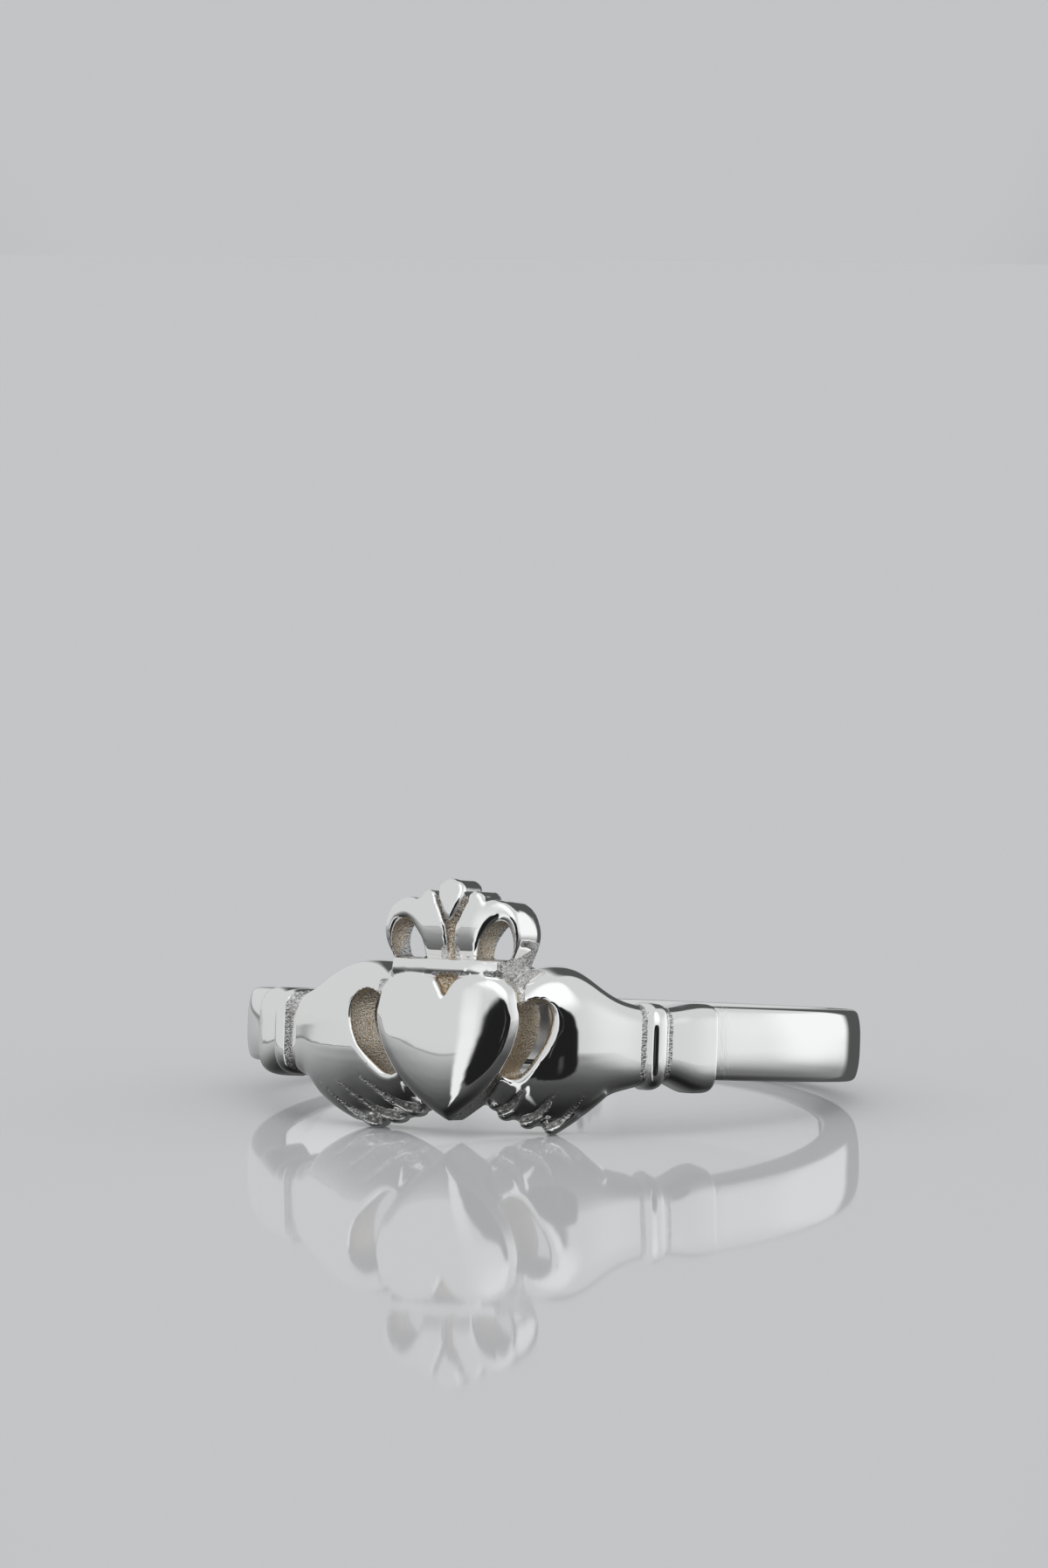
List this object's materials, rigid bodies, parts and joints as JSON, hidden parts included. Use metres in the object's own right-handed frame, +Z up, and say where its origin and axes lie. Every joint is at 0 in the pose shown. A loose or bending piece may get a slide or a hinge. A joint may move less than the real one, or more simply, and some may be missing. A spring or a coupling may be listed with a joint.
{
  "type": "claddagh ring",
  "caption": "Silver finger ring whose head shows two hands holding a heart with an open crown above it.",
  "frame": {"origin": "under the middle of the ring's outer box, on the surface that it lies on", "axes": "+Z up from the surface, -Y towards the heart, +X towards the hand at the viewer's right when the heart is seen from the front with the crown up"},
  "size_m": [0.0202, 0.0218, 0.0082],
  "materials": {
    "silver": "mirror-polished sterling silver, with dull cast grain in the recesses"
  },
  "bodies": {
    "root": {"ring": "silver"}
  },
  "joints": []
}
